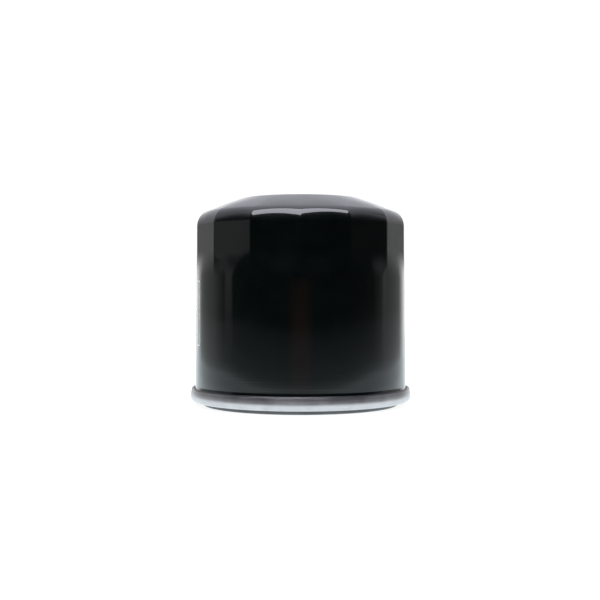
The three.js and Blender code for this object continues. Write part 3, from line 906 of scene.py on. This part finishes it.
def make_clip():
    """The folded metal strip over the joint of the paper, with pinch marks along it."""
    low, high = (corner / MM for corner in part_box("pleat_seam_clip"))
    half, depth = high.x, high.y - low.y
    sheet, bevel = 0.3, 0.5
    pinch_depth, pinch_pitch = 0.08, 4.5
    flat = half - bevel
    outer = [(-half, depth), (-half, bevel), (-flat, 0), (flat, 0), (half, bevel), (half, depth)]
    inner = [(x * (half - sheet) / half, max(y, sheet) if y < depth else y) for x, y in reversed(outer)]
    section = refined([list(p) for p in outer + inner], 0.4)
    rows = []
    for z in np.linspace(low.z, high.z, 60):
        pinch = pinch_depth * max(0.0, math.sin((z - low.z) * TURN / pinch_pitch)) ** 4
        rows.append([(x * (1 - pinch * min(1, y / depth * 2)), low.y + y, z) for x, y in section])
    rows = np.array(rows)
    shell = Shell().grid(rows, wrap_columns=True)
    for row in (rows[0], rows[-1]):
        first = len(shell.points)
        shell.points += row.tolist()
        shell.faces.append(list(range(first, first + len(row))))
    shell.piece("paper_joint_clip", "element", "plain_steel", STEEL, ["pleat_seam_clip"])


def make_center_tube():
    """A rolled tube with staggered rows of punched holes."""
    inner = TUBE - 0.5
    rows, columns = 5, 6
    across, up = 16, 8  # points along a cell's edges
    bevel = 0.1
    row_height = (MEDIA_TOP - MEDIA_BOTTOM) / rows
    angles = even_angles(columns * across)
    shell = Shell()
    width = TUBE * TURN / columns
    levels = hole_levels(inner, TUBE, 0.12)

    def on_tube(points, radius):
        return round_about(radius, points[:, 1], points[:, 0] / TUBE)

    for row in range(rows):
        low = MEDIA_BOTTOM + row * row_height
        for column in range(columns):
            left = (column + (row % 2) / 2) * width
            edge = cell_edge(left, left + width, low, low + row_height, across, up)
            middle = (left + width / 2, low + row_height / 2)
            holed_cell(shell, edge, middle, lambda direction: TUBE_HOLE, levels, on_tube)
    for end, start in ((TUBE_BOTTOM, MEDIA_BOTTOM), (TUBE_TOP, MEDIA_TOP)):
        inwards = bevel if end < start else -bevel
        rim = [[inner, start], [inner, end + inwards], [inner + bevel, end], [TUBE - bevel, end]]
        shell.revolve([*rim, [TUBE, end + inwards], [TUBE, start]], angles, closed=False)
    shell.piece("perforated_tube", "element", "plain_steel", STEEL, ["center_tube"], sharp=45)


# ---- springs and bypass valve ----


def make_coil(name, node, body, mean, wire, turns):
    """A coil spring with closed ends ground flat."""
    low, high = outline(node)[1:]
    steps_per_turn = 40
    share = np.linspace(0, 1, turns * steps_per_turn + 1)
    end_share = 1 / turns
    left_by_grinding = wire * 0.7
    first, last = low + left_by_grinding, high - left_by_grinding
    closed = 2 * wire + GAP / 2
    middle = np.clip((share - end_share) / (1 - 2 * end_share), 0, 1)
    ends = np.clip(share / end_share, 0, 1) + np.clip((share - 1 + end_share) / end_share, 0, 1)
    heights = first + closed * ends + (last - first - 2 * closed) * middle
    around = even_angles(14)[None, :]
    lifted = np.clip(heights[:, None] + wire * np.sin(around), low, high)
    radii = np.broadcast_to(mean + wire * np.cos(around), lifted.shape)
    turned = np.broadcast_to((share * turns * TURN)[:, None], lifted.shape)
    points = round_about(radii, lifted, turned)
    shell = Shell().grid(points, wrap_columns=True)
    for end in (points[0], points[-1]):
        shell.fan(end, end.mean(axis=0))
    return shell.piece(name, body, "spring_steel", WIRE, [node], sharp=50)


def shorten(made, node):
    """Gives a spring its own copy of its mesh. It reads the node's low and high ends, but shortens nothing."""
    low, high = outline(node)[1:]
    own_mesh(made)


def make_bypass_valve():
    """The seat with its raised lip, the poppet, and the rubber washer on it."""
    lip, stem, head, washer_bore = 1, 1.6, 0.8, 5.2
    dimple, dimple_slope, dimple_depth = 2.4, 0.6, 0.25
    seat = rounded(
        (SEAT_BORE, SEAT_FACE, 0.25),
        (SEAT_BORE + lip, SEAT_FACE, 0.25),
        (SEAT_BORE + lip, SEAT_TOP - SEAT_FLANGE, 0.05),
        (SEAT, SEAT_TOP - SEAT_FLANGE, 0.15),
        (SEAT, SEAT_TOP, 0.15),
        (SEAT_BORE, SEAT_TOP, 0.25),
    )
    shell = Shell().revolve(refined(seat, 1.0), even_angles(128))
    shell.piece("bypass_valve_seat", "element", "plain_steel", STEEL, ["bypass_seat"])
    poppet = rounded(
        (0, STEM_BOTTOM, 0),
        (stem, STEM_BOTTOM, 0.4),
        (stem, POPPET_TOP - head, 0.5),
        (POPPET, POPPET_TOP - head, 0.25),
        (POPPET, POPPET_TOP, 0.25),
        (dimple + dimple_slope, POPPET_TOP, 0.3),
        (dimple, POPPET_TOP - dimple_depth, 0.2),
        (0, POPPET_TOP - dimple_depth, 0),
    )
    shell = Shell().revolve(refined(poppet, 0.9, closed=False), even_angles(112))
    shell.piece("bypass_valve_poppet", "bypass_valve", "plain_steel", STEEL, ["bypass_poppet"])
    washer = square_ring(washer_bore, SEAL, SEAL_BOTTOM, SEAL_TOP, (0.2, 0.3, 0.3, 0.3))
    shell = Shell().revolve(refined(washer, 0.7), even_angles(112))
    shell.piece("bypass_valve_seal", "bypass_valve", "nitrile_rubber", NITRILE, ["bypass_seal"], sharp=60)


def make_cage():
    """The bypass valve's cage: a pressed cup with four windows."""
    radius, guide, flange = 9.0, 2.6, 0.6
    inner = radius - SHEET
    middle = (CAGE_BOTTOM + CAGE_TOP) / 2
    half_belt = 3.5
    low, high = middle - half_belt, middle + half_belt
    windows, across, up = 4, 28, 12
    angles = even_angles(windows * across)
    half_width, half_height = 3.0, 2.5
    levels = hole_levels(inner, radius, 0.1)

    def window(direction):
        """Distance from a window's centre to its edge, with rounded corners."""
        x, y = abs(direction[0]) / half_width, abs(direction[1]) / half_height
        return (x**6 + y**6) ** (-1 / 6)

    def on_wall(points, depth):
        return round_about(depth, points[:, 1], points[:, 0] / radius)

    shell = Shell()
    width = radius * TURN / windows
    for i in range(windows):
        left = (i - 0.5) * width
        edge = cell_edge(left, left + width, low, high, across, up)
        holed_cell(shell, edge, (i * width, middle), window, levels, on_wall)
    cup = rounded(
        (inner, low, 0),
        (inner, CAGE_BOTTOM + SHEET, 0.4),
        (guide, CAGE_BOTTOM + SHEET, 0.1),
        (guide, CAGE_BOTTOM, 0.1),
        (radius, CAGE_BOTTOM, 0.7),
        (radius, low, 0),
    )
    collar = rounded(
        (radius, high, 0),
        (radius, CAGE_TOP - flange, 0.3),
        (SEAT, CAGE_TOP - flange, 0.12),
        (SEAT, CAGE_TOP, 0.12),
        (inner, CAGE_TOP, 0.4),
        (inner, high, 0),
    )
    shell.revolve(refined(cup, 0.9, closed=False), angles, closed=False)
    shell.revolve(refined(collar, 0.9, closed=False), angles, closed=False)
    shell.piece("bypass_valve_cage", "element", "plain_steel", STEEL, ["bypass_cage"])


make_can()
make_marking()
make_seam_cover()
make_gasket()
make_sealant()
make_base_plate()
make_drainback_valve()
make_end_cap("element_lower_cap", "lower_end_cap", CAP_BOTTOM, 1, HUB + CLEARANCE + GAP)
make_end_cap("element_upper_cap", "upper_end_cap", CAP_TOP, -1, 7.0)
make_potting("element_lower_potting", "lower_potting")
make_potting("element_upper_potting", "upper_potting")
make_media()
make_clip()
make_center_tube()
make_bypass_valve()
make_cage()
spring = make_coil("bypass_valve_spring", "bypass_spring", "element", mean=4.6, wire=0.45, turns=5)
shorten(spring, "bypass_spring")
spring = make_coil("element_hold_spring", "element_spring", "housing", mean=14, wire=0.8, turns=4)
shorten(spring, "element_spring")

# ---- stage: a white table in a room that is dark behind the camera and light behind the object ----

CEILING_TINT = (0.97, 0.965, 1.08)
NEUTRAL = (1.0, 1.0, 1.0)
WARM = (1.0, 0.4, 0.35)
BACKDROP_LIGHT = 1.05  # what the camera sees behind the object
# The walls: what a ray meets by the y part of its direction, times ROOM_LIGHT.
ROOM_LIGHT = 1.2
ROOM = ((-1, 0.015), (-0.45, 0.02), (-0.1, 0.03), (0, 0.08), (0.3, 0.3), (0.7, 0.25), (0.87, 1.4), (1, 1.7))
# The ceiling: its light and its share by the z part, and its front edge by the y part.
CEILING_LIGHT = 2.1
CEILING = ((0.2, 0.35), (0.5, 0.48), (0.75, 0.56), (1, 1))
CEILING_SHARE = ((0.1, 0), (0.45, 1))
CEILING_EDGE = ((-0.12, 0.01), (0.02, 1))
# The table: how much of its light shows at each distance in metres. Along x it reaches further.
TABLE_TINT = (0.86, 0.96, 1.0)
TABLE_LIGHT = 1.5
TABLE_REACH_X = 1.9
TABLE_NEAR = ((0.05, 1), (0.065, 0.77), (0.095, 0.77), (0.112, 0.385), (0.145, 0.19))
TABLE_FAR = ((0.25, 0.115), (0.5, 0.062), (0.95, 0))


def light_nodes(owner):
    """An empty node tree for a world or for a glowing material."""
    owner.use_nodes = True
    owner.node_tree.nodes.clear()
    return Nodes(owner.node_tree)


def make_world():
    """Plain white behind the object. Everything else that the object meets is the room."""
    world = bpy.data.worlds.new("studio")
    bpy.context.scene.world = world
    nodes = light_nodes(world)
    _, y, z = nodes.split(nodes.node("TexCoord").outputs["Generated"])
    wall = nodes.math("MULTIPLY", nodes.ramp(y, ROOM), ROOM_LIGHT)
    overhead = nodes.math("MULTIPLY", nodes.ramp(z, CEILING), nodes.ramp(y, CEILING_EDGE))
    overhead = nodes.math("MULTIPLY", overhead, CEILING_LIGHT)
    tinted = nodes.node("VectorMath", {0: CEILING_TINT, "Scale": overhead}, operation="SCALE")
    ceiling = tinted.outputs[0]
    room = nodes.node("Background", {0: nodes.mixed(nodes.ramp(z, CEILING_SHARE), wall, ceiling)})
    plain = nodes.node("Background", {0: (*NEUTRAL, 1), 1: BACKDROP_LIGHT})
    seen = nodes.node("LightPath").outputs["Is Camera Ray"]
    shown = nodes.node("MixShader", {0: seen, 1: room.outputs[0], 2: plain.outputs[0]})
    nodes.node("OutputWorld", {0: shown.outputs[0]})


def make_sheet(name, corners):
    """A flat sheet on the stage, with its own node tree. Corners are in metres."""
    mesh = bpy.data.meshes.new(name)
    mesh.from_pydata(corners, [], [list(range(len(corners)))])
    mesh.materials.append(bpy.data.materials.new(name))
    sheet = bpy.data.objects.new(name, mesh)
    bpy.context.scene.collection.objects.link(sheet)
    return sheet, light_nodes(mesh.materials[0])


def square(half, z=0):
    return [(-half, -half, z), (half, -half, z), (half, half, z), (-half, half, z)]


def make_card(name, centre, size, turned, light, tint, corners, soft, back=1):
    """A glowing card that lights the object and is reflected in it, and isn't itself in view.

    size is in metres, turned in degrees. corners is the outline's power: 2 is an ellipse, more is squarer.
    soft is the share of the half size over which the edge fades, and back the share left of the far half."""
    card, nodes = make_sheet(name, [(-1, -1, 0), (1, -1, 0), (1, back, 0), (-1, back, 0)])
    card.location, card.scale = centre, (size[0] / 2, size[1] / 2, 1)
    card.rotation_euler = [math.radians(angle) for angle in turned]
    card.visible_camera = False
    x, y, _ = nodes.split(nodes.node("TexCoord").outputs["Object"])
    sides = [nodes.math("POWER", nodes.math("ABSOLUTE", side), corners) for side in (x, y)]
    out = nodes.math("POWER", nodes.math("ADD", *sides), 1 / corners)
    share = nodes.between(out, 1 - soft, 1, 1, 0)
    glow = nodes.node("Emission", {0: (*tint, 1), 1: light})
    clear = nodes.node("BsdfTransparent")
    shown = nodes.node("MixShader", {0: share, 1: clear.outputs[0], 2: glow.outputs[0]})
    nodes.node("OutputMaterial", {0: shown.outputs[0]})


def make_floor():
    """What the camera sees: white, with a faint shadow where the object stands."""
    floor, nodes = make_sheet("floor", square(3))
    floor.visible_diffuse = floor.visible_glossy = floor.visible_transmission = False
    glow = nodes.node("Emission", {1: 0.9})
    matt = nodes.node("BsdfDiffuse", {0: (0.16, 0.16, 0.16, 1)})
    both = nodes.node("AddShader", {0: glow.outputs[0], 1: matt.outputs[0]})
    nodes.node("OutputMaterial", {0: both.outputs[0]})


def make_table():
    """What the object sees of the floor: bright close by, and giving way to the room further off."""
    table, nodes = make_sheet("table", square(1, -0.2 * MM))
    table.visible_camera = False
    x, y, _ = nodes.split(nodes.node("TexCoord").outputs["Object"])
    in_front = nodes.math("MINIMUM", y)
    flat = nodes.node("CombineXYZ", {0: nodes.math("DIVIDE", x, TABLE_REACH_X), 1: in_front})
    distance = nodes.node("VectorMath", {0: flat.outputs[0]}, operation="LENGTH").outputs["Value"]
    glow = nodes.node("Emission", {0: (*TABLE_TINT, 1), 1: TABLE_LIGHT})
    clear = nodes.node("BsdfTransparent")
    share = nodes.ramp(distance, TABLE_NEAR + TABLE_FAR)
    shown = nodes.node("MixShader", {0: share, 1: clear.outputs[0], 2: glow.outputs[0]})
    nodes.node("OutputMaterial", {0: shown.outputs[0]})


make_world()
make_floor()
make_table()
SOFTBOX = (-0.13, -0.12, 0.8)
make_card("top_softbox", SOFTBOX, (1.24, 1.74), (0, 0, 0), 8.5, CEILING_TINT, corners=2, soft=0.05, back=0)
make_card("left_panel", (-1, -0.145, 0.14), (0.4, 0.24), (0, 90, 0), 0.36, NEUTRAL, corners=6, soft=0.6)
make_card("right_strip", (1, 0.18, 0.4), (1.0, 0.13), (0, 90, 0), 0.45, NEUTRAL, corners=8, soft=0.3)
make_card("warm_reflector", (0, -1, -0.03), (0.5, 0.22), (90, 0, 0), 0.14, WARM, corners=3, soft=0.6)

bpy.context.scene.view_settings.view_transform = "Standard"
